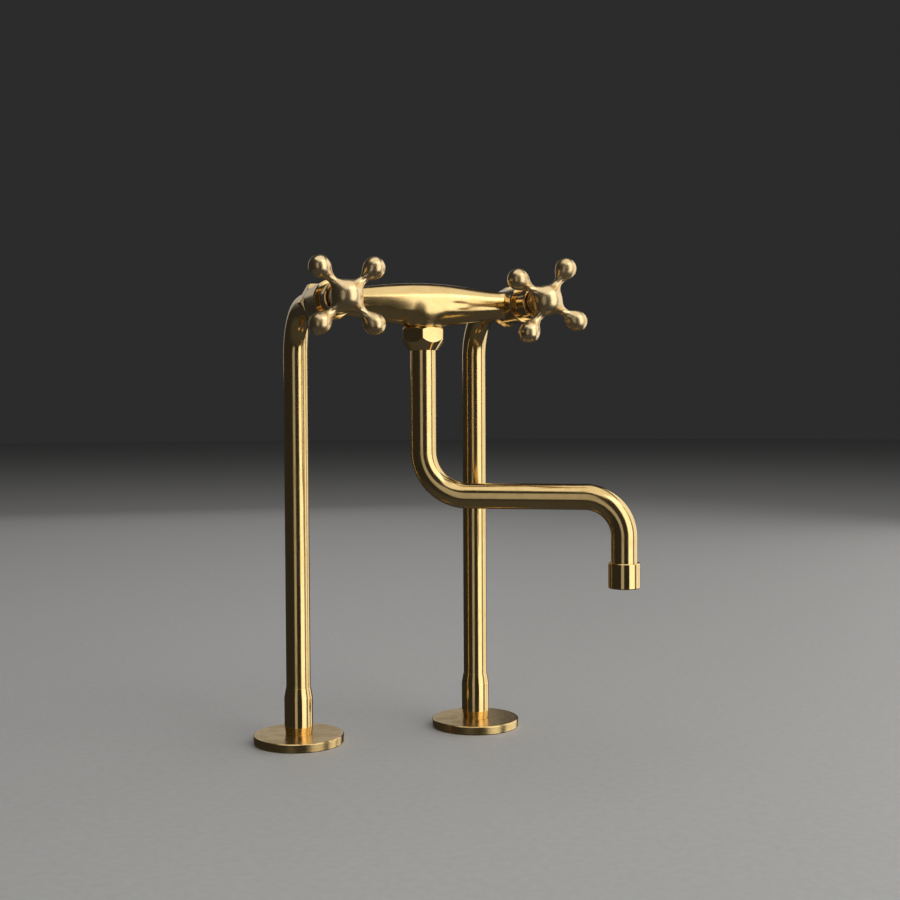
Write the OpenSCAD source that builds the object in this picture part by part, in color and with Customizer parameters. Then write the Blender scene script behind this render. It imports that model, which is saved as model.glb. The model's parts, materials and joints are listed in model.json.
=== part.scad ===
// Two-leg bridge mixer for a deck: bent risers, valve housings, a spindle-shaped mixer bar and a swing spout.
// The origin is midway between the two shanks, on the deck. +Z is up and -Y is towards the user.

/* [Layout] */
// Distance between the two risers, centre to centre
leg_spacing = 150; // [130:1:200]
// Height of the valve axis above the deck
valve_height = 340; // [260:1:420]
// How far the mixer bar stands in front of the risers
leg_setback = 85.5; // [75:0.5:120]

/* [Deck fixing] */
// Diameter of the deck flange
flange_d = 71; // [50:1:90]
// Thickness of the deck flange
flange_t = 7; // [6:0.5:10]
// Major diameter of the inlet thread on the shank
shank_d = 20.955; // [20.955]
// Length of the threaded shank below the deck
shank_drop = 58; // [40:1:90]
// Largest diameter of the base sleeve
sleeve_d = 22.2; // [22:0.1:26]
// Height of the top of the base sleeve above the deck
sleeve_top = 44; // [40:1:60]

/* [Risers] */
// Outer diameter of the riser and spout tube
tube_d = 19; // [19:0.05:20]
// Wall of the riser and spout tube
tube_wall = 1.5; // [1:0.1:2]
// Centreline radius of the bend at the top of a riser
riser_bend = 36; // [28:1:45]
// Hex size across flats of the union nut
union_af = 27; // [27:0.5:30]

/* [Mixer bar] */
// Radius of the bar at its middle
bar_mid_r = 15.2; // [13:0.1:18]
// Radius of the bar where it meets a housing
bar_end_r = 10.2; // [9.5:0.1:12]
// Radius of the valve housing
housing_r = 13.6; // [13:0.1:15]
// Radius of the lip round the front of the housing
lip_r = 14.4; // [13.8:0.1:16]

/* [Handles] */
// Distance from the valve axis to the middle of a ball
ball_reach = 27.5; // [24:0.5:34]
// Diameter of the ball on a handle arm
ball_d = 15.3; // [12:0.1:17]
// Radius of the handle's hub
hub_r = 10.7; // [10:0.1:13]
// Angle of the left handle's first arm, closed
left_rest = 45; // [0:1:89]
// Angle of the right handle's first arm, closed
right_rest = 58; // [0:1:89]

/* [Spout] */
// Heading of the spout at rest, from the X axis
spout_heading = -32; // [-60:1:-20]
// Distance from the swivel axis to the outlet axis
spout_reach = 148; // [120:1:220]
// Height of the level run of the spout
spout_run_z = 198; // [185:1:215]
// Centreline radius of the spout's first bend
spout_bend_1 = 33; // [28:1:40]
// Centreline radius of the spout's second bend
spout_bend_2 = 28.5; // [26:0.5:36]
// Hex size across flats of the swivel nut
swivel_af = 29.5; // [29:0.5:32]
// Height of the lower face of the swivel nut
swivel_z = 305.5; // [304:0.1:307]
// Radius of the aerator housing
aerator_r = 11.5; // [11:0.1:13]
// Height of the outlet face above the deck
outlet_z = 132; // [122:1:138]

/* [Hidden] */
$fn = 96;
side_sign = [-1, 1];
handle_rest = [left_rest, right_rest];
nut_turn = [0, 30];            // a hex nut stops where its thread does, so the two don't line up
bar_y = -leg_setback;
tube_r = tube_d / 2;
tube_bore = tube_r - tube_wall;

polished = "#d8ad54";
satin = "#cbb07c";
steel = "#b9bcc0";
rubber = "#26262a";
ceramic = "#eeeae2";
plastic = "#d9dadb";

// deck fixing, heights above the deck
neck_r = 9.2;                  // shank neck that passes through the flange into the sleeve
neck_top = 25;
shank_bore = 6.5;
riser_foot = 26.5;             // lower end of the riser, just above the neck
olive_z = 28;
olive_h = 6;
olive_r = 10.2;
sleeve_foot_r = 10.4;
taper_top = 13.4;
shoulder_z = 36;
shoulder_r = 9.7;
gasket_t = 2;
gasket_in = 14;
gasket_out = 30;

// along the valve axis, measured forward from the bar's axis
rear_face = -9;                // rear face of the housing and front of the union nut
spigot_end = -13.8;            // rear end of the housing's threaded spigot
spigot_r = 11.9;
washer_t = 1;
collar_t = 2;
collar_r = 11.8;
riser_end = spigot_end - washer_t;
union_rear = -18.8;
union_front = rear_face - 0.3;
inlet_r = 6;
seat_s = -5;                   // valve seat at the bottom of the chamber
chamber_r = 9.2;
chamber_end = 11;
valve_thread_r = 8.33;
lip_front = 22;
lip_back = 18.5;

// headwork
seal_t = 1.5;
disc_r = 6.8;
cup_r = 7;
cup_out = 7.9;
disc_t = 2.4;
fixed_s = seat_s + seal_t;
moving_s = fixed_s + disc_t + 0.1;
drive_s = moving_s + disc_t + 0.1;
drive_t = 1.1;
cup_end = 9.5;
hex_t = 3;
headwork_af = 19;
stem_r = 6.5;
headwork_end = 36.4;
spindle_r = 4;
spindle_bore = 4.05;
clip_t = 0.8;
clip_s = headwork_end + 0.1;
oring_s = 30.8;
oring_tube = 0.55;
spindle_groove = 2.9;          // radius at the bottom of the spindle's O-ring groove

// bonnet and handle
bonnet_r = 11.8;
bonnet_front = 40;
bonnet_wall = 0.8;
web_s = 32;
web_t = 2;
recess_r = 10.2;
recess_s = 35;
neck_s = 39;                   // rear end of the handle's neck, inside the bonnet's recess
handle_neck_r = 9.2;
hub_s = 50.5;
ball_s = 57;                   // plane of the ball centres
dome_s = 58;
dome_front = 66.5;
dome_step = 0.15;              // the dome starts a hair inside the hub's edge
socket_end = 53;
arm_root_at = 6.5;             // where an arm starts inside the hub
arm_root_r = 4.9;
arm_neck_at = 15.5;
arm_neck_r = 3.1;
arm_tip_r = 4.8;               // where an arm runs into its ball
screw_s = 45;
screw_r = 2;
screw_head = 9;
screw_tip = 4.05;

// bar, boss and swivel, heights above the deck
bar_half = 61;                 // half length of the bar outside the housings
bar_bore = 6;
branch_r = 7.95;               // spigot of the bar in the housing's side
branch_end = 65;
boss_r = 9.2;
nose_r = 12.3;                 // threaded nose that the swivel nut screws on
nose_z = swivel_z + 6.8;
swivel_h = 17.3;
nose_top = swivel_z + swivel_h - 1;
socket_r = 7;
socket_top = 338;              // runs into the bar's waterway
nut_bore = 9.75;
nut_cavity = 12.4;
nut_floor = 3.5;
nut_foot_r = 10.7;
nut_slope = 0.72;              // how fast the lower cone widens with height
spout_top = nose_z - 0.2;
collar_out = 12.1;
glide_t = 1;
spigot_top = 333;
swing_r = 6.95;                 // running fit in the boss's socket
swing_bore = 4.8;
swing_groove = 5.6;
swing_ring = 0.64;
ring_heights = [317.5, 326];

// spout end
aerator_h = 18.6;
tube_end = outlet_z + 9;
insert_t = 6.4;
lip_t = 1.6;
insert_r = 9.8;
jet_r = 0.8;
jet_pitch = 2.6;

// Radius of the bar at a distance x from its middle
function bar_r(x) = bar_end_r + (bar_mid_r - bar_end_r) * pow(1 - pow(x / bar_half, 2), 1.5);

// A turned piece: each point is [radius, height along the axis]
module turned(points) {
    rotate_extrude() polygon(points);
}

// A plain ring between two radii and two heights
module ring(inner, outer, from, to) {
    turned([[inner, from], [outer, from], [outer, to], [inner, to]]);
}

// An O-ring lying round the axis
module oring(middle, thick, at) {
    translate([0, 0, at]) rotate_extrude() translate([middle, 0]) circle(r = thick, $fn = 32);
}

// Moves a piece on the deck to one leg
module at_leg(k) {
    translate([side_sign[k] * leg_spacing / 2, 0, 0]) children();
}

// Moves a piece to one valve: its own Z runs forward along the valve axis, its Y is up
module at_valve(k) {
    translate([side_sign[k] * leg_spacing / 2, bar_y, valve_height]) rotate([90, 0, 0]) children();
}

// A quarter bend of the tube in the XZ plane: it rises along Z at the origin and ends along +X
module bend(radius, outer, inner) {
    translate([radius, 0, 0]) rotate([90, 0, 0]) rotate([0, 0, 90])
        rotate_extrude(angle = 90) translate([radius, 0]) difference() {
            circle(r = outer);
            circle(r = inner);
        }
}

// A straight length of the tube along Z
module tube(length) {
    linear_extrude(length) difference() {
        circle(r = tube_r);
        circle(r = tube_bore);
    }
}

// ---- deck fixing ----

module flange(k) {
    color(polished) at_leg(k) turned([
        [neck_r + 0.1, gasket_t], [gasket_in, gasket_t], [gasket_in, gasket_t + 0.2],
        [gasket_out + 0.5, gasket_t + 0.2], [gasket_out + 0.5, 0], [flange_d / 2 - 0.9, 0],
        [flange_d / 2 - 0.4, 0.6], [flange_d / 2, flange_t - 0.6], [flange_d / 2 - 0.6, flange_t],
        [neck_r + 0.1, flange_t]
    ]);
}

module gasket(k) {
    color(rubber) at_leg(k) ring(gasket_in, gasket_out, 0, gasket_t);
}

module shank(k) {
    color(polished) at_leg(k) turned([
        [shank_bore, -shank_drop], [shank_d / 2 - 1, -shank_drop], [shank_d / 2, 1 - shank_drop],
        [shank_d / 2, 0], [gasket_in - 0.2, 0], [gasket_in - 0.2, gasket_t - 0.05],
        [neck_r, gasket_t - 0.05], [neck_r, neck_top], [shank_bore, neck_top]
    ]);
}

module base_sleeve(k) {
    color(polished) at_leg(k) turned([
        [neck_r, flange_t], [sleeve_foot_r - 0.4, flange_t], [sleeve_foot_r - 0.4, flange_t + 0.4],
        [sleeve_foot_r, flange_t + 0.4], [sleeve_d / 2, taper_top], [sleeve_d / 2, shoulder_z],
        [shoulder_r, sleeve_top], [tube_r, sleeve_top], [tube_r, olive_z + olive_h + 1],
        [olive_r, olive_z + olive_h], [olive_r, neck_top], [neck_r, neck_top]
    ]);
}

module olive(k) {
    color(polished) at_leg(k) turned([
        [tube_r, olive_z], [olive_r - 0.3, olive_z + 1.5], [olive_r - 0.1, olive_z + olive_h / 2],
        [olive_r - 0.3, olive_z + olive_h - 1.5], [tube_r, olive_z + olive_h]
    ]);
}

// ---- risers and unions ----

module riser(k) {
    bend_z = valve_height - riser_bend;
    color(polished) at_leg(k) {
        translate([0, 0, riser_foot]) tube(bend_z - riser_foot);
        translate([0, 0, bend_z]) rotate([0, 0, -90]) bend(riser_bend, tube_r, tube_bore);
        translate([0, -riser_bend, valve_height]) rotate([90, 0, 0])
            tube(leg_setback - riser_bend + riser_end);
    }
}

module riser_collar(k) {
    color(polished) at_valve(k) ring(tube_r, collar_r, riser_end - collar_t, riser_end);
}

module union_washer(k) {
    color(rubber) at_valve(k) ring(7, collar_r - 0.3, riser_end, spigot_end);
}

module union_nut(k) {
    corner = union_af / sqrt(3);
    color(polished) at_valve(k) difference() {
        intersection() {
            translate([0, 0, union_rear]) rotate([0, 0, nut_turn[k]])
                cylinder(r = corner, h = union_front - union_rear, $fn = 6);
            turned([
                [0, union_rear], [corner - 0.8, union_rear], [corner + 0.2, union_rear + 0.6],
                [corner + 0.2, union_front - 1.4], [union_af / 2 - 0.2, union_front], [0, union_front]
            ]);
        }
        turned([
            [0, union_rear - 1], [tube_r + 0.1, union_rear - 1], [tube_r + 0.1, riser_end - collar_t],
            [nut_cavity - 0.4, riser_end - collar_t], [nut_cavity - 0.4, union_front + 1],
            [0, union_front + 1]
        ]);
    }
}

module housing(k) {
    color(polished) at_valve(k) difference() {
        turned([
            [inlet_r, spigot_end], [spigot_r - 0.5, spigot_end], [spigot_r, spigot_end + 0.5],
            [spigot_r, rear_face], [housing_r - 0.5, rear_face], [housing_r, rear_face + 0.5],
            [housing_r, lip_back], [lip_r - 0.3, lip_back + 0.5], [lip_r, lip_back + 1],
            [lip_r, lip_front - 0.8], [lip_r - 0.8, lip_front], [valve_thread_r, lip_front],
            [valve_thread_r, chamber_end], [chamber_r, chamber_end], [chamber_r, seat_s],
            [inlet_r, seat_s]
        ]);
        rotate([0, -side_sign[k] * 90, 0]) cylinder(r = branch_r, h = housing_r + 1);
    }
}

// ---- headwork: the valve itself ----

module seat_seal(k) {
    color(rubber) at_valve(k) ring(inlet_r + 0.2, cup_out, seat_s, fixed_s);
}

module fixed_disc(k) {
    color(ceramic) at_valve(k) disc_with_ports(fixed_s);
}

module moving_disc(k) {
    color(ceramic) at_valve(k) rotate([0, 0, 90]) disc_with_ports(moving_s);
}

// A ceramic disc with two quarter-round ports. Turning one disc by a quarter turn opens or shuts them.
module disc_with_ports(at) {
    translate([0, 0, at]) linear_extrude(disc_t) difference() {
        circle(r = disc_r);
        for (turn = [45, 225]) rotate([0, 0, turn]) intersection() {
            circle(r = disc_r - 1.2);
            translate([0.8, 0.8]) square(disc_r);
        }
    }
}

module headwork(k) {
    color(satin) at_valve(k) difference() {
        union() {
            turned([
                [cup_r, fixed_s], [cup_out, fixed_s], [cup_out, chamber_end],
                [valve_thread_r, chamber_end], [valve_thread_r, lip_front], [stem_r, lip_front],
                [stem_r, headwork_end], [spindle_bore, headwork_end], [spindle_bore, cup_end],
                [cup_r, cup_end]
            ]);
            translate([0, 0, lip_front]) difference() {
                cylinder(r = headwork_af / sqrt(3), h = hex_t, $fn = 6);
                translate([0, 0, -1]) cylinder(r = stem_r - 0.5, h = hex_t + 2);
            }
        }
        translate([-chamber_r, -3, drive_s + 2]) cube([2 * chamber_r, 6, 4.5]);
    }
}

module spindle(k) {
    color(polished) at_valve(k) turned([
        [0, drive_s], [disc_r - 0.1, drive_s], [disc_r - 0.1, drive_s + drive_t],
        [spindle_r, drive_s + drive_t], [spindle_r, oring_s - 0.9], [spindle_groove, oring_s - 0.9],
        [spindle_groove, oring_s + 0.9], [spindle_r, oring_s + 0.9], [spindle_r, clip_s],
        [spindle_r - 0.8, clip_s], [spindle_r - 0.8, clip_s + clip_t], [spindle_r, clip_s + clip_t],
        [spindle_r, socket_end - 0.6], [spindle_r - 0.6, socket_end - 0.1], [0, socket_end - 0.1]
    ]);
}

module spindle_oring(k) {
    color(rubber) at_valve(k) oring(spindle_groove + oring_tube + 0.01, oring_tube, oring_s);
}

module spindle_clip(k) {
    color(steel) at_valve(k) ring(spindle_r - 0.8, stem_r - 1, clip_s, clip_s + clip_t);
}

module bonnet(k) {
    color(polished) at_valve(k) turned([
        [bonnet_r - bonnet_wall, lip_front], [bonnet_r, lip_front], [bonnet_r, bonnet_front - 0.9],
        [bonnet_r - 0.3, bonnet_front - 0.3], [bonnet_r - 0.9, bonnet_front], [recess_r, bonnet_front],
        [recess_r, recess_s], [stem_r + 1.5, recess_s], [stem_r + 1.5, web_s + web_t],
        [stem_r, web_s + web_t], [stem_r, web_s], [bonnet_r - bonnet_wall, web_s]
    ]);
}

// ---- handle ----

module handle(k) {
    dome_h = dome_front - dome_s;
    dome_r = (pow(hub_r - dome_step, 2) + pow(dome_h, 2)) / (2 * dome_h);
    color(satin) at_valve(k) difference() {
        union() {
            rotate_extrude() {
                polygon([
                    [0, neck_s], [handle_neck_r - 0.5, neck_s], [handle_neck_r, neck_s + 0.5],
                    [handle_neck_r, hub_s - 4.5], [hub_r, hub_s], [hub_r, dome_s], [0, dome_s]
                ]);
                intersection() {
                    translate([0, dome_front - dome_r]) circle(r = dome_r);
                    translate([0, dome_s]) square([hub_r, dome_h + 1]);
                }
            }
            for (turn = [0:90:270])
                rotate([0, 0, handle_rest[k] + turn]) translate([0, 0, ball_s]) rotate([0, 90, 0]) arm();
        }
        translate([0, 0, neck_s - 1]) cylinder(r = spindle_r, h = socket_end - neck_s + 1);
        translate([0, 0, screw_s]) rotate([90, 0, 0]) cylinder(r = screw_r, h = hub_r + 1);
    }
}

// One arm along +Z: it narrows to a neck and opens again into the ball
module arm() {
    rotate_extrude() intersection() {
        union() {
            polygon([
                [0, arm_root_at], [arm_root_r, arm_root_at], [arm_neck_r, arm_neck_at],
                [arm_tip_r, ball_reach - ball_d / 2 + 2.2], [0, ball_reach]
            ]);
            translate([0, ball_reach]) circle(d = ball_d);
        }
        square([ball_d, 2 * ball_reach]);
    }
}

module handle_screw(k) {
    color(steel) at_valve(k) translate([0, 0, screw_s]) rotate([90, 0, 0]) difference() {
        turned([
            [0, screw_tip], [screw_r - 0.6, screw_tip], [screw_r, screw_tip + 0.6],
            [screw_r, screw_head], [0, screw_head]
        ]);
        translate([0, 0, screw_head - 1.8]) cylinder(r = 1.15, h = 2, $fn = 6);
    }
}

// ---- bridge body and swivel ----

module bridge_body() {
    steps = 12;
    outline = [for (i = [-steps:steps]) [bar_r(bar_half * i / steps), bar_half * i / steps]];
    color(polished) difference() {
        union() {
            translate([0, bar_y, valve_height]) difference() {
                rotate([0, -90, 0]) turned(concat([[0, -bar_half]], outline, [[0, bar_half]]));
                for (x = [-1, 1]) translate([x * leg_spacing / 2, 0, 0])
                    rotate([90, 0, 0]) cylinder(r = housing_r, h = 60, center = true);
            }
            translate([branch_end, bar_y, valve_height]) rotate([0, -90, 0])
                cylinder(r = branch_r, h = 2 * branch_end);
            translate([0, bar_y, 0]) turned([
                [0, nose_z], [nose_r - 0.8, nose_z], [nose_r, nose_z + 0.8], [nose_r, nose_top],
                [boss_r, nose_top], [boss_r, nose_top + 2.4], [boss_r + 1.2, nose_top + 6.5],
                [boss_r + 4.5, valve_height - 7], [0, valve_height - 7]
            ]);
        }
        translate([branch_end + 1, bar_y, valve_height]) rotate([0, -90, 0])
            cylinder(r = bar_bore, h = 2 * branch_end + 2);
        translate([0, bar_y, nose_z - 1]) cylinder(r = socket_r, h = socket_top - nose_z + 1);
    }
}

module swivel_nut() {
    corner = swivel_af / sqrt(3);
    top = swivel_z + swivel_h;
    cone_top = swivel_z + (corner + 0.2 - nut_foot_r) / nut_slope;
    color(polished) translate([0, bar_y, 0]) difference() {
        intersection() {
            translate([0, 0, swivel_z]) rotate([0, 0, 10]) cylinder(r = corner, h = swivel_h, $fn = 6);
            turned([
                [0, swivel_z], [nut_foot_r, swivel_z], [corner + 0.2, cone_top], [corner + 0.2, top - 1.1],
                [corner - 2, top], [0, top]
            ]);
        }
        turned([
            [0, swivel_z - 1], [nut_bore, swivel_z - 1], [nut_bore, swivel_z + nut_floor],
            [nut_cavity, swivel_z + nut_floor], [nut_cavity, top + 1], [0, top + 1]
        ]);
    }
}

module glide_ring() {
    color(plastic) translate([0, bar_y, 0])
        ring(tube_r + 0.3, nut_cavity, swivel_z + nut_floor, swivel_z + nut_floor + glide_t);
}

module spout_collar() {
    color(polished) translate([0, bar_y, 0])
        ring(tube_r, collar_out, swivel_z + nut_floor + glide_t + 0.05, spout_top);
}

module spout_spigot() {
    grooves = [for (z = ring_heights, p = [[-1, 0], [-1, 1], [1, 1], [1, 0]])
        [p[1] == 1 ? swing_groove : swing_r, z + 0.8 * p[0]]];
    color(polished) translate([0, bar_y, 0]) turned(concat(
        [[swing_bore, spout_top - 8], [tube_bore, spout_top - 8], [tube_bore, spout_top],
            [swing_r, spout_top]],
        grooves,
        [[swing_r, spigot_top - 0.6], [swing_r - 0.6, spigot_top], [swing_bore, spigot_top]]
    ));
}

module spout_orings() {
    color(rubber) translate([0, bar_y, 0])
        for (z = ring_heights) oring(swing_groove + swing_ring + 0.01, swing_ring, z);
}

// ---- spout ----

module spout_tube() {
    first_z = spout_run_z + spout_bend_1;
    last_z = spout_run_z - spout_bend_2;
    color(polished) translate([0, bar_y, 0]) rotate([0, 0, spout_heading]) {
        translate([0, 0, first_z]) tube(spout_top - first_z);
        translate([0, 0, first_z]) mirror([0, 0, 1]) bend(spout_bend_1, tube_r, tube_bore);
        translate([spout_bend_1, 0, spout_run_z]) rotate([0, 90, 0])
            tube(spout_reach - spout_bend_1 - spout_bend_2);
        translate([spout_reach, 0, last_z]) rotate([0, 0, 180]) bend(spout_bend_2, tube_r, tube_bore);
        translate([spout_reach, 0, tube_end]) tube(last_z - tube_end);
    }
}

// Moves a piece to the spout's outlet, with the deck as height 0
module at_outlet() {
    translate([0, bar_y, 0]) rotate([0, 0, spout_heading]) translate([spout_reach, 0, 0]) children();
}

module aerator_housing() {
    top = outlet_z + aerator_h;
    color(polished) at_outlet() turned([
        [insert_r - 1, outlet_z], [aerator_r - 0.7, outlet_z], [aerator_r, outlet_z + 0.7],
        [aerator_r, top - 0.5], [aerator_r - 0.5, top], [tube_r, top], [tube_r, tube_end],
        [insert_r, tube_end], [insert_r, outlet_z + lip_t], [insert_r - 1, outlet_z + lip_t]
    ]);
}

module aerator_washer() {
    color(rubber) at_outlet() ring(tube_bore - 1, insert_r, outlet_z + lip_t + insert_t, tube_end);
}

// Straightens the stream: a plug with a hexagonal field of small hexagonal jets
module aerator_insert() {
    color(plastic) at_outlet() translate([0, 0, outlet_z + lip_t]) linear_extrude(insert_t) difference() {
        circle(r = insert_r);
        for (i = [-3:3], j = [-3:3])
            if (abs(i + j) <= 3)
                translate([jet_pitch * (i + j / 2), jet_pitch * j * sqrt(3) / 2]) circle(r = jet_r, $fn = 6);
    }
}

flange(0);  // left_flange
gasket(0);  // left_gasket
shank(0);  // left_shank
base_sleeve(0);  // left_base_sleeve
olive(0);  // left_olive
riser(0);  // left_riser
riser_collar(0);  // left_riser_collar
union_washer(0);  // left_union_washer
union_nut(0);  // left_union_nut
housing(0);  // left_housing
seat_seal(0);  // left_seat_seal
fixed_disc(0);  // left_fixed_disc
moving_disc(0);  // left_moving_disc
headwork(0);  // left_headwork
spindle(0);  // left_spindle
spindle_oring(0);  // left_spindle_oring
spindle_clip(0);  // left_spindle_clip
bonnet(0);  // left_bonnet
handle(0);  // left_handle
handle_screw(0);  // left_handle_screw

flange(1);  // right_flange
gasket(1);  // right_gasket
shank(1);  // right_shank
base_sleeve(1);  // right_base_sleeve
olive(1);  // right_olive
riser(1);  // right_riser
riser_collar(1);  // right_riser_collar
union_washer(1);  // right_union_washer
union_nut(1);  // right_union_nut
housing(1);  // right_housing
seat_seal(1);  // right_seat_seal
fixed_disc(1);  // right_fixed_disc
moving_disc(1);  // right_moving_disc
headwork(1);  // right_headwork
spindle(1);  // right_spindle
spindle_oring(1);  // right_spindle_oring
spindle_clip(1);  // right_spindle_clip
bonnet(1);  // right_bonnet
handle(1);  // right_handle
handle_screw(1);  // right_handle_screw

bridge_body();
swivel_nut();
glide_ring();
spout_collar();
spout_spigot();
spout_orings();
spout_tube();
aerator_housing();
aerator_washer();
aerator_insert();
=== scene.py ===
import json
import math

import bmesh
import bpy
import numpy as np
from mathutils import Matrix, Vector


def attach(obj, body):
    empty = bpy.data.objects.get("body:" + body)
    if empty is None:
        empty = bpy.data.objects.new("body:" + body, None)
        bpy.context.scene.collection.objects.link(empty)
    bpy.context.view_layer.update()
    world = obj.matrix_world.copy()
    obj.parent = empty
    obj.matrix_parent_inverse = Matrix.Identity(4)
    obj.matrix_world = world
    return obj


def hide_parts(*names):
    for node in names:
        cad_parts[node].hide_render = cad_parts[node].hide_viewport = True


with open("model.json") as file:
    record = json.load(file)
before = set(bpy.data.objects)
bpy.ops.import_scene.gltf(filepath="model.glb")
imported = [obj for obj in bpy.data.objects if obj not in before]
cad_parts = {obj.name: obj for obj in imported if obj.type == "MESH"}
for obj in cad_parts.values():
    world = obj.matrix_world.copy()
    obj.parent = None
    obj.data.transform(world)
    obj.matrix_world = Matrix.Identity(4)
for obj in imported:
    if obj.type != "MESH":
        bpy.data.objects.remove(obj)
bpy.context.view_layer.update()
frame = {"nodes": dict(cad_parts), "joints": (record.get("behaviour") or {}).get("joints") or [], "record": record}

# ---- deck flanges ----
# Two round cover plates turned from brass bar and polished to a mirror. Each slides over its shank,
# hides the hole in the deck, and is held down by the base sleeve above it.
mm = 0.001
sides = ("left", "right")
mounts = {m["name"]: m for m in frame["record"]["mounts"]}
leg_x = {side: mounts[f"{side}_inlet_shank"]["pos_m"][0] for side in sides}
at_leg = {side: Matrix.Translation((leg_x[side], 0, 0)) @ Matrix.Scale(mm, 4) for side in sides}
round_steps = 144
neck_r = 9.3
gasket_in, gasket_out, gasket_t = 14, 30.5, 2.2
flange_t = 7


def eased(outline, arc_steps=4, shoulder=0.5):
    """The outline's points as (point, wear). A corner that has a third number is rounded by that radius and
    has a wear of 1, because it rubs bright; a plain point on each side keeps the faces beside it true."""
    points = []
    for i, (radius, height, *ease) in enumerate(outline):
        here = Vector((radius, height))
        if not ease:
            points.append((here, 0))
            continue
        back = Vector(outline[i - 1][:2]) - here
        ahead = Vector(outline[(i + 1) % len(outline)][:2]) - here
        cut = min(ease[0] / math.tan(back.angle(ahead) / 2), 0.4 * back.length, 0.4 * ahead.length)
        start, end = (here + way.normalized() * cut for way in (back, ahead))
        before, after = (here + way.normalized() * min(cut + shoulder, 0.48 * way.length)
                         for way in (back, ahead))
        points.append((before, 0))
        for k in range(arc_steps + 1):
            t = k / arc_steps
            points.append((start * (1 - t) ** 2 + here * 2 * t * (1 - t) + end * t ** 2, 1))
        points.append((after, 0))
    return points


def solid(name, points, faces, grain, wear, crease=math.radians(32)):
    """Makes the mesh with its grain and wear, turns its faces outward and keeps its sharp edges crisp."""
    mesh = bpy.data.meshes.new(name)
    mesh.from_pydata(points.tolist(), [], faces.tolist())
    mesh.attributes.new("grain", "FLOAT_VECTOR", "POINT").data.foreach_set("vector", np.ravel(grain))
    mesh.attributes.new("wear", "FLOAT", "POINT").data.foreach_set("value", np.ravel(wear))
    work = bmesh.new()
    work.from_mesh(mesh)
    bmesh.ops.remove_doubles(work, verts=work.verts, dist=1e-3 * mm)
    bmesh.ops.recalc_face_normals(work, faces=work.faces)
    for face in work.faces:
        face.smooth = True
    for edge in work.edges:
        edge.smooth = edge.calc_face_angle(math.pi) < crease
    work.to_mesh(mesh)
    work.free()
    piece = bpy.data.objects.new(name, mesh)
    bpy.context.scene.collection.objects.link(piece)
    piece.modifiers.new("true_faces", "WEIGHTED_NORMAL").keep_sharp = True
    return piece


def placed(points, place):
    """Points in a piece's own millimetres, carried to where it sits."""
    turn = np.array(place.to_3x3())
    return np.reshape(points, (-1, 3)) @ turn.T + np.array(place.translation)


def ringed(rows, around, closed=True):
    """Faces between rows of points that go once round. A closed skin joins the last row to the first."""
    corners = np.arange(rows * around).reshape(rows, around)
    beside = np.roll(corners, -1, axis=1)
    above, above_beside = np.roll(corners, -1, axis=0), np.roll(beside, -1, axis=0)
    faces = np.stack([corners, beside, above_beside, above], axis=-1)
    return (faces if closed else faces[:-1]).reshape(-1, 4)


def lathe_rows(points, angles):
    """An eased outline's points carried round the axis, with their grain, which runs round, and wear."""
    runs = np.cumsum([0] + [(b[0] - a[0]).length for a, b in zip(points, points[1:])])
    across, up = np.cos(angles), np.sin(angles)
    rows = np.stack([np.stack([p.x * across, p.x * up, np.full_like(angles, p.y)], -1)
                     for p, _ in points])
    grain = np.stack([np.stack([np.full_like(angles, run), 0.3 * across, 0.3 * up], -1) for run in runs])
    wear = np.repeat([mark for _, mark in points], len(angles))
    return rows, grain, wear


def turned(name, outline, place, around=round_steps):
    """A piece turned on the lathe from its outline of (radius, height), in millimetres."""
    rows, grain, wear = lathe_rows(eased(outline), np.arange(around) * 2 * math.pi / around)
    return solid(name, placed(rows, place), ringed(len(rows), around), grain, wear)


def fitted(piece, body, slot, finish, *nodes):
    """Gives a piece its finish and fixes it to its body, where it stands for the named nodes."""
    piece.data.materials.append(finish)
    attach(piece, body)
    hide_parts(*nodes)


def wire(tree, kind, into=None, out=None, **settings):
    """Adds a node with its settings and returns its output. into gives each socket a value, or the output
    of another node."""
    made = tree.nodes.new("ShaderNode" + kind)
    for key, value in settings.items():
        setattr(made, key, value)
    for key, value in (into or {}).items():
        socket = made.inputs[key] if isinstance(key, int) else \
            next(s for s in made.inputs if s.name == key and s.enabled)
        if isinstance(value, bpy.types.NodeSocket):
            tree.links.new(value, socket)
        else:
            socket.default_value = value
    return made.outputs[out] if out else next((s for s in made.outputs if s.enabled), None)


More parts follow.
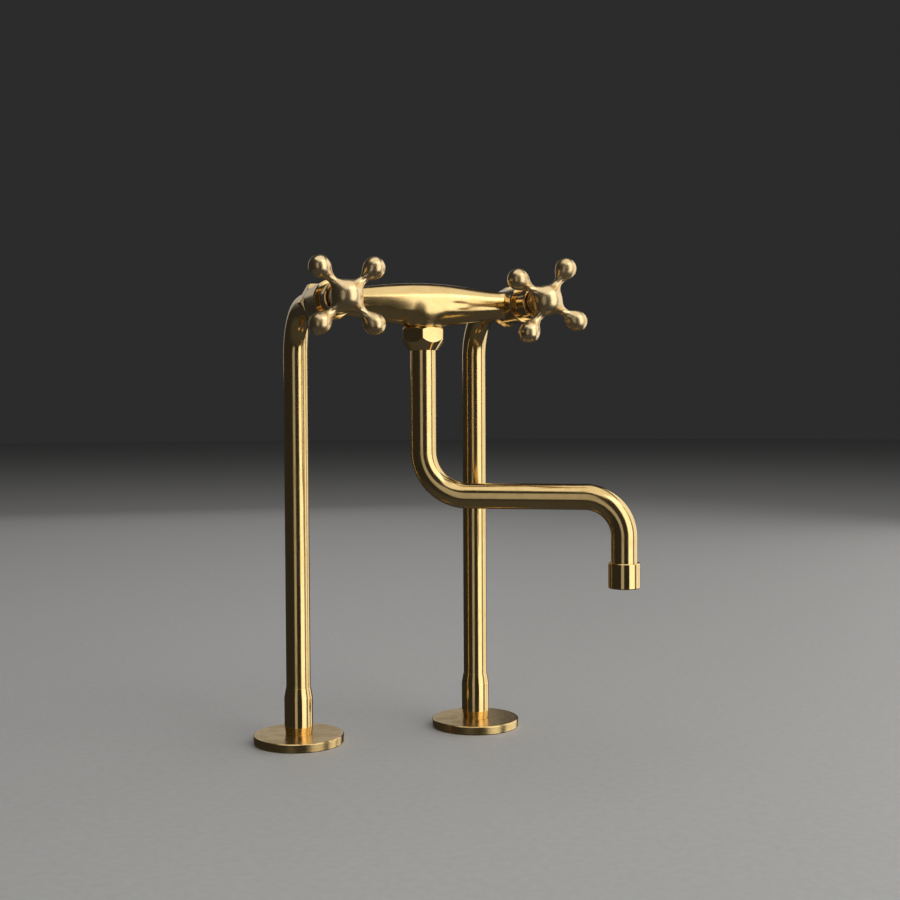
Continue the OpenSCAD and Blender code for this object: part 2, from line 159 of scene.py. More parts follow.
def brass(name, clean, film, spot, gloss, lines, ripple, shape="grain"):
    """Brass with polishing lines and ripple along the grain, a patchy film of handling, small dark spots
    and edges rubbed bright. gloss is the roughness clean, filmed and at an edge; lines and ripple are each
    (how many per mm, depth in mm)."""
    made = bpy.data.materials.new(name)
    made.use_nodes = True
    tree = made.node_tree
    tree.nodes.clear()
    place = wire(tree, "TexCoord", out="Object")
    along = wire(tree, "Attribute", out="Vector", attribute_name="grain") if shape == "grain" else \
        wire(tree, "VectorMath", {0: place, "Scale": 1 / mm}, operation="SCALE")
    wear = wire(tree, "Attribute", out="Fac", attribute_name="wear")
    fine = wire(tree, "TexNoise", {"Vector": along, "Scale": lines[0], "Detail": 3, "Roughness": 0.65})
    broad = wire(tree, "TexNoise", {"Vector": along, "Scale": ripple[0], "Detail": 1.5})
    smear = wire(tree, "TexNoise", {"Vector": place, "Scale": 42, "Detail": 5, "Roughness": 0.62,
                                    "Distortion": 0.8})
    dots = wire(tree, "TexNoise", {"Vector": place, "Scale": 700, "Detail": 2})
    filmed = wire(tree, "MapRange", {"Value": smear, "From Min": 0.45, "From Max": 0.7})
    spotted = wire(tree, "MapRange", {"Value": dots, "From Min": 0.68, "From Max": 0.8, "To Max": 0.6})
    tone = wire(tree, "Mix", {"Factor": filmed, "A": clean, "B": film}, data_type="RGBA")
    aged = wire(tree, "Mix", {"Factor": spotted, "A": tone, "B": spot}, data_type="RGBA")
    bright = [min(1, c * 1.08 + 0.02) for c in clean[:3]] + [1]
    rubbed = wire(tree, "Mix", {"Factor": wear, "A": aged, "B": bright}, data_type="RGBA")
    rough = wire(tree, "MapRange", {"Value": filmed, "To Min": gloss[0], "To Max": gloss[1]})
    streak = wire(tree, "MapRange", {"Value": fine, "From Min": 0.3, "From Max": 0.7, "To Min": 0.8,
                                     "To Max": 1.25})
    lined = wire(tree, "Math", {0: rough, 1: streak}, operation="MULTIPLY")
    worn = wire(tree, "Mix", {"Factor": wear, "A": lined, "B": gloss[2]})
    waved = wire(tree, "Bump", {"Height": broad, "Distance": ripple[1] * mm})
    marked = wire(tree, "Bump", {"Height": fine, "Distance": lines[1] * mm, "Normal": waved})
    shader = wire(tree, "BsdfPrincipled", {"Base Color": rubbed, "Roughness": worn, "Normal": marked,
                                           "Metallic": 1})
    wire(tree, "OutputMaterial", {"Surface": shader})
    return made


gold = (0.87, 0.62, 0.27, 1)
gold_film = (0.8, 0.55, 0.22, 1)
gold_spot = (0.5, 0.3, 0.11, 1)
mirror_brass = brass("mirror_brass", gold, gold_film, gold_spot,
                     gloss=(0.1, 0.17, 0.08), lines=(7, 0.0012), ripple=(0.3, 0.012))
faced_brass = brass("faced_brass", gold, gold_film, gold_spot,
                    gloss=(0.24, 0.34, 0.14), lines=(5, 0.006), ripple=(0.3, 0.012))

for side in sides:
    plate = turned(f"{side}_deck_flange", [
        (neck_r, gasket_t - 0.2), (gasket_in, gasket_t - 0.2), (gasket_in, gasket_t),
        (gasket_out, gasket_t), (gasket_out, 0), (34.6, 0, 0.2), (35.1, 0.6, 0.2),
        (35.5, flange_t - 0.6, 0.22), (34.9, flange_t, 0.22), (neck_r, flange_t, 0.2)], at_leg[side])
    fitted(plate, "stand", "polished_brass", faced_brass, f"{side}_flange")

# ---- deck gaskets ----
# A flat ring of moulded black rubber lies in the recess under each flange. It keeps splashes out of the
# hole in the deck.


def moulded(name, colour, fleck, rough, grain_size, depth, **shader_values):
    """A plain material with small flecks of a second tone, uneven gloss and a fine skin. rough is the least
    and most roughness; grain_size and depth are the skin's, in millimetres."""
    made = bpy.data.materials.new(name)
    made.use_nodes = True
    tree = made.node_tree
    tree.nodes.clear()
    place = wire(tree, "TexCoord", out="Object")
    skin = wire(tree, "TexNoise", {"Vector": place, "Scale": 1 / (grain_size * mm), "Detail": 4})
    cloud = wire(tree, "TexNoise", {"Vector": place, "Scale": 160, "Detail": 3})
    tint = wire(tree, "MapRange", {"Value": cloud, "From Min": 0.35, "From Max": 0.7})
    tone = wire(tree, "Mix", {"Factor": tint, "A": colour, "B": fleck}, data_type="RGBA")
    gloss = wire(tree, "MapRange", {"Value": skin, "From Min": 0.3, "From Max": 0.7, "To Min": rough[0],
                                    "To Max": rough[1]})
    bump = wire(tree, "Bump", {"Height": skin, "Distance": depth * mm})
    shader = wire(tree, "BsdfPrincipled",
                  {"Base Color": tone, "Roughness": gloss, "Normal": bump, **shader_values})
    wire(tree, "OutputMaterial", {"Surface": shader})
    return made


def kept(finish, slot, *nodes):
    """Gives its finish to a part of the frame that is shown as it is."""
    for node in nodes:
        part = frame["nodes"][node]
        part.data.materials.clear()
        part.data.materials.append(finish)


black_rubber = moulded("black_rubber", (0.012, 0.012, 0.013, 1), (0.022, 0.021, 0.02, 1),
                       rough=(0.5, 0.68), grain_size=0.3, depth=0.02)
kept(black_rubber, "rubber", *[f"{side}_gasket" for side in sides])

# ---- inlet shanks ----
# A brass shank passes down through each hole in the deck. Its G 1/2 thread takes the clamping nut and the
# supply hose, a shoulder stands under the flange, and a plain neck carries the base sleeve.
thread_r, thread_root_r, thread_pitch = 10.4775, 9.3155, 1.814
thread_low, thread_high = -58, -0.6
thread_steps = 12
lead_in = 1.2


def threaded(outline, place, name, around=96):
    """A turned piece whose first point is the top of a thread and whose last is the bottom of it."""
    angles = np.arange(around) * 2 * math.pi / around
    rows, grain, wear = lathe_rows(eased(outline), angles)
    turns = math.ceil((thread_high - thread_low) / thread_pitch) + 1
    steps = np.arange(-thread_steps, turns * thread_steps + 1)
    height = thread_low + thread_pitch * (steps[:, None] / thread_steps + angles[None, :] / (2 * math.pi))
    height = np.clip(height, thread_low, thread_high)
    flank = np.abs(((steps / thread_steps) % 1) * 2 - 1)
    form = thread_root_r + (thread_r - thread_root_r) * np.clip(flank * 1.5 - 0.25, 0, 1)
    radius = np.broadcast_to(form[:, None], height.shape)
    start = thread_root_r - 0.1 + (height - thread_low) * (thread_r - thread_root_r + 0.1) / lead_in
    radius = np.clip(radius, thread_r - (thread_high - height) * 1.2, start)
    spiral = np.stack([radius * np.cos(angles), radius * np.sin(angles), height], -1)
    count = len(rows) * around
    here = count + np.arange(len(steps) * around).reshape(len(steps), around)
    beside = np.roll(here, -1, axis=1)
    beside[:, -1] = np.concatenate([here[thread_steps:, 0], np.repeat(here[-1:, 0], thread_steps)])
    faces = np.stack([here[:-1], beside[:-1], beside[1:], here[1:]], -1).reshape(-1, 4)
    points = np.concatenate([rows.reshape(-1, 3), spiral.reshape(-1, 3)])
    smooth = np.stack([height, 0.3 * np.cos(angles) + 0 * height, 0.3 * np.sin(angles) + 0 * height], -1)
    grains = np.concatenate([grain.reshape(-1, 3), smooth.reshape(-1, 3)])
    crest = (radius > thread_r - 0.05).astype(float).ravel()
    every_face = np.concatenate([ringed(len(rows), around, closed=False), faces])
    return solid(name, placed(points, place), every_face, grains, np.concatenate([wear, crest]))


turned_brass = brass("turned_brass", (0.74, 0.5, 0.22, 1), (0.62, 0.39, 0.15, 1), (0.34, 0.18, 0.06, 1),
                     gloss=(0.24, 0.34, 0.18), lines=(5, 0.006), ripple=(0.5, 0.01))
for side in sides:
    shank = threaded([
        (thread_r, thread_high), (thread_r, 0), (13.8, 0, 0.15), (13.8, 1.95, 0.15), (9.2, 1.95),
        (9.2, 25, 0.2), (6.5, 25, 0.2), (6.5, thread_low, 0.2), (thread_root_r - 0.1, thread_low)],
        at_leg[side], f"{side}_threaded_shank")
    fitted(shank, "stand", "polished_brass", turned_brass, f"{side}_shank")

# ---- base sleeves ----
# The turned brass socket at the foot of each riser. It stands on the flange over a narrow shadow line,
# widens to a plain barrel and closes in to the tube at its shoulder; the olive inside it grips the tube.
sleeve_top = 44
tube_r = 9.5
for side in sides:
    sleeve = turned(f"{side}_sleeve", [
        (9.2, flange_t), (10, flange_t), (10, 7.4), (10.4, 7.4, 0.12), (11.1, 13.4, 1.2), (11.1, 36, 0.9),
        (9.72, sleeve_top, 0.12), (tube_r + 0.02, sleeve_top), (tube_r + 0.02, 35), (10.2, 34), (10.2, 25),
        (9.2, 25)], at_leg[side])
    fitted(sleeve, "stand", "polished_brass", mirror_brass, f"{side}_base_sleeve")

# ---- olives ----
# A soft brass ring is squeezed onto the riser inside each base sleeve by the sleeve's cone. It holds the
# tube and seals it.
plain_brass = brass("plain_brass", (0.72, 0.5, 0.22, 1), (0.6, 0.39, 0.16, 1), (0.3, 0.17, 0.06, 1),
                    gloss=(0.26, 0.36, 0.2), lines=(4, 0.006), ripple=(0.4, 0.01), shape="cut")
kept(plain_brass, "plain_brass", *[f"{side}_olive" for side in sides])

# ---- risers ----
# Two upright brass tubes of 19 mm, drawn and polished lengthwise. Each is bent forward at its top and ends
# in the union behind its valve housing.
swivel = next(j for j in frame["joints"] if j["name"] == "spout_swing")["pos_m"]
valve_z = next(j for j in frame["joints"] if j["name"] == "left_handle_turn")["pos_m"][2]
bar_y = swivel[1]
tube_bore, tube_lip = 8, 0.3
riser_foot = 26.5
riser_bend = 36
riser_end = -14.8
bend_step = math.radians(3)


def walked(forward, height, lean, moves):
    """The middle line of a tube bent in one plane: rows of (forward, height, lean, length so far). A move
    is (None, length) for a straight run or (radius, angle) for a bend; lean is the angle from upright."""
    line = [(forward, height, lean, 0)]
    for radius, amount in moves:
        forward, height, lean, run = line[-1]
        if radius is None:
            line.append((forward + amount * math.sin(lean), height + amount * math.cos(lean), lean,
                         run + amount))
            continue
        way = math.copysign(radius, amount)
        middle = (forward + way * math.cos(lean), height - way * math.sin(lean))
        count = round(abs(amount) / bend_step)
        for k in range(1, count + 1):
            now = lean + amount * k / count
            line.append((middle[0] - way * math.cos(now), middle[1] + way * math.sin(now), now,
                         run + radius * abs(amount) * k / count))
    return np.array(line)


def tube(name, line, heading, place, around=96):
    """A hollow bent tube along its middle line, with its ends' edges broken. heading is the way the bend
    faces, and the grain runs along the tube."""
    angles = np.arange(around) * 2 * math.pi / around
    outside = np.full(len(line), float(tube_r))
    inside = np.full(len(line), float(tube_bore))
    outside[[0, -1]] -= tube_lip
    inside[[0, -1]] += tube_lip
    line = np.concatenate([line, line[::-1]])
    radius = np.concatenate([outside, inside[::-1]])[:, None]
    forward, height, lean, run = (line[:, k][:, None] for k in range(4))
    out = radius * np.cos(angles)
    ahead = forward + out * np.cos(lean)
    across = radius * np.sin(angles)
    up = height - out * np.sin(lean)
    rows = np.stack([ahead * math.cos(heading) - across * math.sin(heading),
                     ahead * math.sin(heading) + across * math.cos(heading), up], -1)
    grain = (np.cos(angles) * tube_r, np.sin(angles) * tube_r, run * 0.02)
    grain = np.stack([np.broadcast_to(v, up.shape) for v in grain], -1)
    return solid(name, placed(rows, place), ringed(len(line), around), grain, np.zeros(up.size))


drawn_brass = brass("drawn_brass", gold, gold_film, gold_spot,
                    gloss=(0.14, 0.22, 0.1), lines=(4, 0.004), ripple=(0.22, 0.03))
for side in sides:
    upright = valve_z / mm - riser_bend - riser_foot
    reach = -bar_y / mm + riser_end - riser_bend
    middle_line = walked(0, riser_foot, 0, [
        (None, tube_lip), (None, upright - tube_lip), (riser_bend, math.pi / 2), (None, reach - tube_lip),
        (None, tube_lip)])
    riser = tube(f"{side}_riser_tube", middle_line, -math.pi / 2, at_leg[side])
    fitted(riser, "stand", "polished_brass", drawn_brass, f"{side}_riser")

# ---- riser collars and union washers ----
# A brass collar is brazed round the end of each riser, and a rubber washer lies between it and the
# housing.
kept(plain_brass, "plain_brass", *[f"{side}_riser_collar" for side in sides])
kept(black_rubber, "rubber", *[f"{side}_union_washer" for side in sides])

# ---- union nuts ----
# A hexagon nut of 27 mm draws each riser's collar up to the housing. Milled brass, polished, with both ends
# chamfered, so that each flat runs out in a curve.
at_valve = {side: Matrix.Translation((leg_x[side], bar_y, valve_z)) @ Matrix.Rotation(math.pi / 2, 4, "X")
            @ Matrix.Scale(mm, 4) for side in sides}
nut_corner_r = 0.5
corner_offsets = [0, 0.3, 0.6, 0.9, 1.2, 2, 3, 5, 7.5, 10, 12.5, 15, 17.5, 20, 22.5, 25, 27.5, 30]


def hexagon(name, flats, outline_at, turn, place):
    """A hexagon piece. outline_at gives the outline for the distance from the axis to the skin, which is
    least in the middle of a flat and most at a rounded corner."""
    offsets = [-a for a in corner_offsets[:0:-1]] + corner_offsets[:-1]
    apothem = flats / 2
    middle = (apothem - nut_corner_r) / math.cos(math.pi / 6)
    tangent = math.atan2(nut_corner_r / 2, middle + nut_corner_r * math.cos(math.pi / 6))
    angles, rows, wear = [], [], []
    for corner in range(6):
        for offset in np.radians(offsets):
            if abs(offset) < tangent:
                reach = middle * math.cos(offset) + math.sqrt(
                    nut_corner_r ** 2 - (middle * math.sin(offset)) ** 2)
            else:
                reach = apothem / math.cos(math.pi / 6 - abs(offset))
            points = eased(outline_at(reach), arc_steps=3, shoulder=0.4)
            angle = math.radians(60 * corner + turn) + offset
            angles.append(angle)
            rows.append([(p.x * math.cos(angle), p.x * math.sin(angle), p.y) for p, _ in points])
            wear.append([max(mark, 1 if abs(offset) < tangent * 1.05 and p.x > reach - 0.6 else 0)
                         for p, mark in points])
    rows = np.array(rows).transpose(1, 0, 2)
    grain = np.stack([rows[..., 2] * 1.0, rows[..., 0] * 0.05, rows[..., 1] * 0.05], -1)
    return solid(name, placed(rows, place), ringed(*rows.shape[:2]), grain, np.array(wear).T,
                 crease=math.radians(28))


union_flats = 27
union_corner = union_flats / math.sqrt(3)
union_rear, union_front = -18.8, -9.3


def union_outline(reach):
    rear_rim = min(reach - 0.15, union_corner - 0.8)
    rear_edge = union_rear + max(0.15, 0.6 * (reach - union_corner + 0.8))
    rim = union_flats / 2 - 0.2
    front_edge = union_front - 1.4 * (reach - rim) / (union_corner + 0.2 - rim)
    return [(9.6, union_rear, 0.2), (rear_rim, union_rear, 0.08), (reach, rear_edge, 0.12),
            (reach, front_edge, 0.12), (rim, union_front, 0.08), (12, union_front, 0.1), (12, -16.8),
            (9.6, -16.8)]


for side, turn in zip(sides, (0, 30)):
    nut = hexagon(f"{side}_hex_union_nut", union_flats, union_outline, turn, at_valve[side])
    fitted(nut, "stand", "polished_brass", mirror_brass, f"{side}_union_nut")

# ---- valve housings ----
# A round brass barrel for each valve, turned and polished, with a raised lip round its front. Its side is
# bored for the mixer bar's spigot, and its rear spigot carries the union nut.
branch_r = 7.95


def bored(piece, place, radius, start, end, around=96):
    """Drills a round hole along the piece's own X axis, from start to end."""
    angles = np.arange(around) * 2 * math.pi / around
    rows = np.stack([np.stack([np.full(around, x), radius * np.cos(angles), radius * np.sin(angles)], -1)
                     for x in (start, end)])
    ends = [list(range(around)), list(range(around, 2 * around))]
    faces = ringed(2, around, closed=False).tolist() + ends
    drill = bpy.data.meshes.new("drill")
    drill.from_pydata(placed(rows, place).tolist(), [], faces)
    work = bmesh.new()
    work.from_mesh(drill)
    bmesh.ops.recalc_face_normals(work, faces=work.faces)
    work.to_mesh(drill)
    work.free()
    cutter = bpy.data.objects.new("drill", drill)
    bpy.context.scene.collection.objects.link(cutter)
    cut = piece.modifiers.new("bore", "BOOLEAN")
    cut.object, cut.operation, cut.solver = cutter, "DIFFERENCE", "EXACT"
    piece.modifiers.move(1, 0)
    piece.modifiers["true_faces"].show_viewport = False
    bpy.context.view_layer.update()
    made = bpy.data.meshes.new_from_object(piece.evaluated_get(bpy.context.evaluated_depsgraph_get()))
    piece.modifiers.remove(cut)
    piece.modifiers["true_faces"].show_viewport = True
    bpy.data.objects.remove(cutter)
    piece.data = made


for side, way in zip(sides, (1, -1)):
    housing = turned(f"{side}_valve_housing", [
        (6, -13.8), (11.4, -13.8, 0.1), (11.9, -13.3, 0.1), (11.9, -9), (13.1, -9, 0.1), (13.6, -8.5, 0.2),
        (13.6, -8.1), (13.6, 8.1), (13.6, 18.5, 0.25), (14.1, 19, 0.2), (14.4, 19.5, 0.2),
        (14.4, 21.2, 0.25), (13.6, 22, 0.25), (8.33, 22, 0.2), (8.33, 11), (9.2, 11), (9.2, -5), (6, -5)],
        at_valve[side])
    bored(housing, at_valve[side], branch_r + 0.02, way * 8.5, way * 15)
    fitted(housing, "stand", "polished_brass", mirror_brass, f"{side}_housing")

# ---- headworks ----
# The valve in each housing: a turned brass barrel with two lapped ceramic discs on a rubber seat seal, and
# a brass spindle with its O-ring, held in by a spring clip of stainless steel.
white_ceramic = moulded("white_ceramic", (0.86, 0.84, 0.8, 1), (0.8, 0.78, 0.73, 1),
                        rough=(0.12, 0.2), grain_size=0.4, depth=0.002)
spring_steel = moulded("spring_steel", (0.62, 0.63, 0.65, 1), (0.52, 0.53, 0.55, 1),
                       rough=(0.22, 0.34), grain_size=0.2, depth=0.004, Metallic=1)
for side in sides:
    kept(plain_brass, "plain_brass", f"{side}_headwork", f"{side}_spindle")
    kept(white_ceramic, "ceramic", f"{side}_fixed_disc", f"{side}_moving_disc")
    kept(black_rubber, "rubber", f"{side}_seat_seal", f"{side}_spindle_oring")
    kept(spring_steel, "stainless", f"{side}_spindle_clip")

# ---- bonnets ----
# A thin polished brass shell is pressed over each headwork. Its front is dished, and the handle's neck
# turns in the dish with a narrow gap all round.
for side in sides:
    bonnet = turned(f"{side}_bonnet_shell", [
        (11, 22), (11.8, 22, 0.1), (11.8, 39.1, 0.3), (11.5, 39.7, 0.25), (10.9, 40, 0.25),
        (10.2, 40, 0.25), (10.2, 35), (8, 35), (8, 34), (6.5, 34), (6.5, 32), (11, 32)], at_valve[side])
    fitted(bonnet, "stand", "polished_brass", mirror_brass, f"{side}_bonnet")

# ---- cross handles ----
# Each handle is one brass casting, smoothed by hand to a satin finish: a domed hub and four arms that thin
# and then swell into a ball. The spindle enters its neck, and a small screw underneath holds it.
ball_s = 57
ball_reach, ball_r = 27.5, 7.65
hub_front, hub_r, hub_neck_r = 66.5, 10.75, 9.2
hub_middle = hub_front - hub_r
neck_s, socket_s, spindle_r = 39, 53, 4
screw_s, screw_r = 45, 2


def melted(a, b, width):
    """The union of two distance fields with a fillet about as wide as width."""
    blend = np.maximum(width - np.abs(a - b), 0)
    return np.minimum(a, b) - blend ** 2 / (4 * width)


def cast(name, field, low, high, step, place, grain, wear, rounds=6):
    """A casting: the zero surface of a distance field in the piece's own millimetres, netted with faces
    about one step wide, pulled true to the field and shaded by the field's own slope."""
    axes = [np.arange(a, b + step, step) for a, b in zip(low, high)]
    value = field(np.stack(np.meshgrid(*axes, indexing="ij"), -1))
    inside = value < 0
    size = [n - 1 for n in inside.shape]
    total = np.zeros(size, int)
    for i, j, k in np.ndindex(2, 2, 2):
        total += inside[i:i + size[0], j:j + size[1], k:k + size[2]]
    active = (total > 0) & (total < 8)
    number = np.full(active.shape, -1)
    number[active] = np.arange(active.sum())
    points = np.argwhere(active) * step + np.array(low) + step / 2
    faces = []
    for axis in range(3):
        near = np.take(inside, range(inside.shape[axis] - 1), axis)
        far = np.take(inside, range(1, inside.shape[axis]), axis)
        edges = np.argwhere(near != far)
        u, v = (axis + 1) % 3, (axis + 2) % 3
        quad = []
        for du, dv in ((0, 0), (1, 0), (1, 1), (0, 1)):
            cell = edges.copy()
            cell[:, u] -= du
            cell[:, v] -= dv
            quad.append(number[tuple(cell.T)])
        quad = np.stack(quad, -1)
        back = ~near[tuple(edges.T)]
        quad[back] = quad[back][:, ::-1]
        faces.append(quad)
    faces = np.concatenate(faces)

    def slope(at, reach=0.03):
        steps = np.eye(3) * reach
        return np.stack([(field(at + s) - field(at - s)) / (2 * reach) for s in steps], -1)

    def pulled(at, times=3):
        for _ in range(times):
            g = slope(at)
            at = at - g * (field(at) / np.maximum((g ** 2).sum(-1), 0.05))[:, None]
        return at

    pairs = np.concatenate([faces[:, [i, (i + 1) % 4]] for i in range(4)])
    points = pulled(points)
    for _ in range(rounds):
        mean = np.zeros_like(points)
        count = np.zeros(len(points))
        for a, b in ((0, 1), (1, 0)):
            np.add.at(mean, pairs[:, a], points[pairs[:, b]])
            np.add.at(count, pairs[:, a], 1)
        points = pulled(points * 0.4 + mean / count[:, None] * 0.6, 2)
    piece = solid(name, placed(points, place), faces, grain(points), wear(points), math.radians(50))
    piece.modifiers.clear()
    away = slope(points)
    away = away @ np.array(place.to_3x3()).T
    away /= np.linalg.norm(away, axis=1)[:, None]
    piece.data.normals_split_custom_set_from_vertices(away.tolist())
    return piece


def handle_field(turn):
    """The distance to a handle's skin, with its first arm at the angle turn."""
    def field(p):
        u = p[..., 0] * math.cos(turn) + p[..., 1] * math.sin(turn)
        v = p[..., 1] * math.cos(turn) - p[..., 0] * math.sin(turn)
        s = p[..., 2]
        off = s - ball_s
        arms = []
        for reach, side_way in ((np.abs(u), v), (np.abs(v), u)):
            out = np.sqrt(side_way ** 2 + off ** 2)
            at = np.clip(reach, 6.5, 22)
            thick = 3.05 + np.where(at < 15, 0.026, 0.012) * (at - 15) ** 2
            arm = np.sqrt(out ** 2 + np.maximum(reach - 24, 0) ** 2) - thick
            ball = np.sqrt(out ** 2 + (reach - ball_reach) ** 2) - ball_r
            arms.append(melted(arm, ball, 5))
        cross = melted(arms[0], arms[1], 5)
        rho = np.sqrt(u ** 2 + v ** 2)
        flare = np.clip((s - 45) / 6, 0, 1)
        skin = hub_neck_r + (hub_r - hub_neck_r) * flare ** 2 * (3 - 2 * flare)
        hub = np.sqrt(rho ** 2 + np.maximum(s - hub_middle, 0) ** 2) - skin
        hub = -melted(-hub, s - neck_s, 0.8)
        whole = melted(cross, hub, 5)
        socket = np.maximum(rho - spindle_r, s - socket_s)
        drilled = np.maximum(np.sqrt(p[..., 0] ** 2 + (s - screw_s) ** 2) - screw_r, p[..., 1])
        return np.maximum(whole, -np.minimum(socket, drilled))
    return field


satin_brass = brass("satin_brass", (0.92, 0.69, 0.37, 1), (0.82, 0.59, 0.3, 1), (0.46, 0.3, 0.13, 1),
                    gloss=(0.27, 0.36, 0.2), lines=(3.2, 0.004), ripple=(0.16, 0.05))
for side, rest in zip(sides, (45, 58)):
    skin = handle_field(math.radians(rest))
    handle = cast(f"{side}_cross_handle", skin, (-37, -37, 37.5), (37, 37, 68.5), 0.62, at_valve[side],
                  lambda p: p * (1, 1, 0.6),
                  lambda p: np.clip((np.linalg.norm(p[:, :2], axis=1) - 31) / 5, 0, 0.7))
    fitted(handle, f"{side}_handle", "satin_brass", satin_brass, f"{side}_handle")

# ---- handle screws ----
# A small stainless grub screw with a hexagon socket comes up under each hub and bears on the spindle.
kept(spring_steel, "stainless", *[f"{side}_handle_screw" for side in sides])

# ---- mixer bar ----
# The body that joins the two valves is one brass casting: a bar that is thickest in its middle, a boss that
# flows down from it, and under the boss a threaded nose for the swivel nut. It is polished.
at_bar = (Matrix.Translation((0, bar_y, valve_z)) @ Matrix.Rotation(math.pi / 2, 4, "X")
          @ Matrix.Scale(mm, 4))
bar_half, bar_mid_r, bar_end_r, bar_bore = 61, 15.95, 10.2, 6
bar_sag = 0.85
housing_r = 13.6
branch_end = 65
boss_r, boss_blend, boss_crown = 11, 9, -4
boss_low, boss_foot_r = -17.05, 11.6
nose_r, nose_low, nose_high = 12.3, -27.7, -18.2
nose_edge = 0.8
socket_r, socket_top = 7, -2


def bar_field(p):
    """The distance to the bar's skin: x along the bar, then height, then forward, from the valve axis."""
    x, up, out = np.abs(p[..., 0]), p[..., 1], p[..., 2]
    core = np.sqrt(up ** 2 + out ** 2)
    taper = np.maximum(1 - (x / bar_half) ** 2, 0)
    skin = bar_end_r + (bar_mid_r - bar_end_r) * taper ** 1.5
    thick = np.sqrt((up + bar_sag * taper ** 1.5) ** 2 + out ** 2)
    lean = (bar_mid_r - bar_end_r) * 3 * np.sqrt(taper) * x / bar_half ** 2
    bar = (thick - skin) / np.sqrt(1 + lean ** 2)
    round_boss = np.sqrt(p[..., 0] ** 2 + out ** 2)
    boss = np.sqrt(round_boss ** 2 + np.maximum(up - boss_crown, 0) ** 2) - boss_r
    boss = np.maximum(boss, nose_high - up)
    body = melted(bar, boss, boss_blend)
    ends = housing_r - np.sqrt((x - leg_x["right"] / mm) ** 2 + up ** 2)
    body = -melted(-body, -ends, 0.7)
    body = np.maximum(body, nose_high - up)
    body = np.maximum(body, np.minimum(boss_low - up, round_boss - boss_foot_r))
    nose = np.maximum(np.maximum(round_boss - nose_r, up - nose_high), nose_low - up)
    nose = np.maximum(nose, (round_boss - nose_r + nose_low - up + nose_edge) * math.sqrt(0.5))
    spigot = np.maximum(core - branch_r, x - branch_end)
    water = np.minimum(core - bar_bore, np.maximum(round_boss - socket_r, up - socket_top))
    return np.maximum(np.minimum(np.minimum(body, nose), spigot), -water)


cast_brass = brass("cast_brass", gold, gold_film, gold_spot,
                   gloss=(0.16, 0.24, 0.1), lines=(2.4, 0.0015), ripple=(0.1, 0.05))
bar = cast("mixer_bar", bar_field, (-66.5, -29.5, -17), (66.5, 17, 17), 0.55, at_bar,
           lambda p: p * (0.35, 1, 1),
           lambda p: np.clip((np.abs(p[:, 0]) - 58) / 4, 0, 1) * (np.abs(p[:, 0]) < 63))
fitted(bar, "stand", "polished_brass", cast_brass, "bridge_body")

# ---- swivel nut and its rings ----
# A hexagon nut of 29.5 mm holds the spout under the boss. Its lower end is coned in to the tube. Inside it
# the spout's collar turns on a plastic glide ring, and a brass spigot with two O-rings seals in the boss.
at_swivel = Matrix.Translation((0, bar_y, 0)) @ Matrix.Scale(mm, 4)
swivel_flats, swivel_z, swivel_h, swivel_turn = 29.5, 305.5, 17.3, 10
swivel_foot_r, cone_slope, swivel_rim_r = 10.7, 0.72, 13.4


def swivel_outline(reach):
    top = swivel_z + swivel_h
    cone = swivel_z + (reach - swivel_foot_r) / cone_slope
    edge = top - 0.62 * (reach - swivel_rim_r)
    return [(9.75, swivel_z, 0.2), (swivel_foot_r, swivel_z, 0.15), (reach, cone, 0.25),
            (reach, edge, 0.16), (swivel_rim_r, top, 0.12), (12.4, top, 0.15), (12.4, 309), (9.75, 309)]


swivel_nut = hexagon("hex_swivel_nut", swivel_flats, swivel_outline, swivel_turn, at_swivel)
fitted(swivel_nut, "stand", "polished_brass", mirror_brass, "swivel_nut")
white_plastic = moulded("white_plastic", (0.78, 0.78, 0.77, 1), (0.7, 0.7, 0.68, 1),
                        rough=(0.32, 0.45), grain_size=0.35, depth=0.006)
kept(white_plastic, "plastic", "glide_ring")
kept(plain_brass, "plain_brass", "spout_collar", "spout_spigot")
kept(black_rubber, "rubber", "spout_orings")

# ---- spout tube ----
# The same 19 mm brass tube as the risers, bent twice: it hangs from the swivel, runs out level, and turns
# down again to the outlet. It swings below the bar on the swivel.
outlet = mounts["spout_outlet"]["pos_m"]
spout_heading = math.atan2(outlet[1] - bar_y, outlet[0])
spout_reach = math.hypot(outlet[0], outlet[1] - bar_y) / mm
spout_top, spout_run_z, tube_end = 312.1, 198, outlet[2] / mm + 9
first_bend, last_bend = 33, 28.5
spout_line = walked(0, spout_top, math.pi, [
    (None, tube_lip), (None, spout_top - tube_lip - spout_run_z - first_bend), (first_bend, -math.pi / 2),
    (None, spout_reach - first_bend - last_bend), (last_bend, math.pi / 2),
    (None, spout_run_z - last_bend - tube_end - tube_lip), (None, tube_lip)])
spout = tube("swing_spout_tube", spout_line, spout_heading, at_swivel)
fitted(spout, "spout", "polished_brass", drawn_brass, "spout_tube")

# ---- aerator ----
# A turned brass shell is screwed on the end of the spout and stands a little wider than the tube. A rubber
# washer and a plastic insert with a field of small jets are inside it.
at_outlet = Matrix.Translation(outlet) @ Matrix.Scale(mm, 4)
shell = turned("aerator_shell", [
    (8.8, 0), (10.8, 0, 0.3), (11.5, 0.7, 0.3), (11.5, 18.1, 0.25), (11, 18.6, 0.25),
    (tube_r + 0.02, 18.6), (tube_r + 0.02, 9), (9.8, 9), (9.8, 1.6), (8.8, 1.6, 0.15)], at_outlet)
fitted(shell, "spout", "polished_brass", mirror_brass, "aerator_housing")
kept(black_rubber, "rubber", "aerator_washer")
kept(white_plastic, "plastic", "aerator_insert")

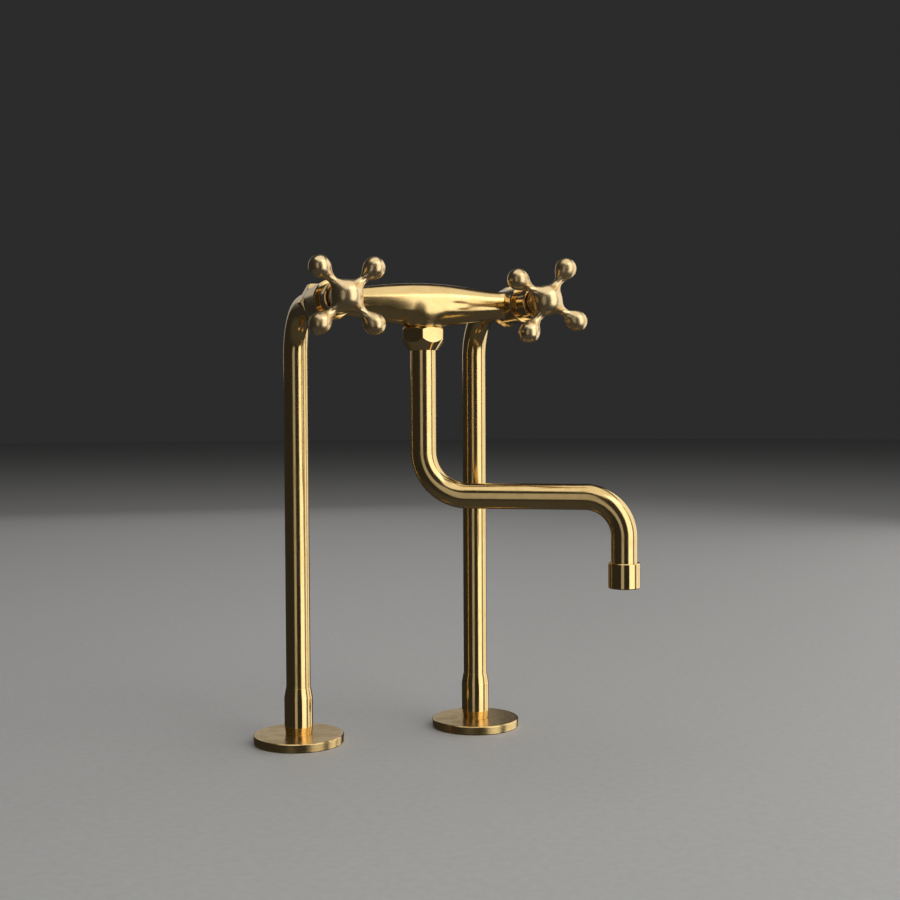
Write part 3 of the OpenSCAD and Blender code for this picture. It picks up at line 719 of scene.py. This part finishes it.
# ---- studio ----
# A plain pale floor, which is the deck that the flanges stand on. Tall soft lights stand to the right and
# in front, with a large one overhead and weak ones all round, and the brass doesn't mirror the floor. The
# camera is a little below the valves and left of the middle.
floor_rings, floor_around = (0.01, 0.3, 1, 3, 9), 64
floor_points = [(r * math.cos(a), r * math.sin(a), 0) for r in floor_rings
                for a in np.arange(floor_around) * 2 * math.pi / floor_around]
floor_faces = ringed(len(floor_rings), floor_around, closed=False).tolist() + [list(range(floor_around))]
floor_mesh = bpy.data.meshes.new("studio_floor")
floor_mesh.from_pydata(floor_points, [], floor_faces)
floor = bpy.data.objects.new("studio_floor", floor_mesh)
bpy.context.scene.collection.objects.link(floor)
floor_mesh.materials.append(moulded("pale_floor", (0.62, 0.61, 0.59, 1), (0.58, 0.57, 0.55, 1),
                                    rough=(0.5, 0.6), grain_size=1.5, depth=0.02))
floor.visible_glossy = False

world = bpy.data.worlds.new("studio_air")
world.use_nodes = True
air = world.node_tree
height = wire(air, "SeparateXYZ", {"Vector": wire(air, "TexCoord", out="Generated")}, "Z")
bounce = wire(air, "MapRange", {"Value": height, "From Min": -0.4, "From Max": -0.7, "To Min": 0.05,
                                "To Max": 0.11})
air.nodes["Background"].inputs["Color"].default_value = (0.5, 0.5, 0.51, 1)
air.links.new(bounce, air.nodes["Background"].inputs["Strength"])
bpy.context.scene.world = world

aim = Vector((0, bar_y, 0.2))


def softbox(name, bearing, rise, distance, width, height, power):
    """A soft rectangular light that faces the faucet. bearing is its angle from the front, to the right."""
    a, e = math.radians(bearing), math.radians(rise)
    lamp = bpy.data.lights.new(name, "AREA")
    lamp.shape, lamp.size, lamp.size_y, lamp.energy = "RECTANGLE", width, height, power
    holder = bpy.data.objects.new(name, lamp)
    away = Vector((math.sin(a) * math.cos(e), -math.cos(a) * math.cos(e), math.sin(e)))
    holder.location = aim + away * distance
    holder.rotation_euler = away.to_track_quat("Z", "Y").to_euler()
    holder.visible_camera = False
    bpy.context.scene.collection.objects.link(holder)


softbox("front_right_light", 33, 14, 1.9, 1.5, 3.2, 20)
softbox("right_light", 97, 8, 1.9, 2.1, 2.8, 18)
softbox("front_left_light", -36, 4, 2.2, 0.8, 2, 1.9)
softbox("ceiling_light", 20, 76, 3, 4, 4, 46)
softbox("room_light", 50, 12, 3.4, 5, 4.4, 10)
softbox("rear_light", 175, 14, 2.4, 1.6, 0.9, 1.8)

camera_data = bpy.data.cameras.new("camera")
camera_data.lens, camera_data.sensor_width = 53.67, 36
camera = bpy.data.objects.new("camera", camera_data)
bpy.context.scene.collection.objects.link(camera)
bearing, pitch, roll = (math.radians(v) for v in (-20.908, -1.96, -0.275))
level = Vector((-math.sin(bearing), math.cos(bearing), 0))
look = level * math.cos(pitch) + Vector((0, 0, math.sin(pitch)))
right = Vector((math.cos(bearing), math.sin(bearing), 0))
up = right.cross(look)
right, up = right * math.cos(roll) + up * math.sin(roll), up * math.cos(roll) - right * math.sin(roll)
stand_at = Matrix.Translation((-0.3371, -1.0228, 0.2658))
camera.matrix_world = stand_at @ Matrix((right, up, -look)).transposed().to_4x4()
bpy.context.scene.camera = camera
bpy.context.scene.view_settings.view_transform = "Standard"
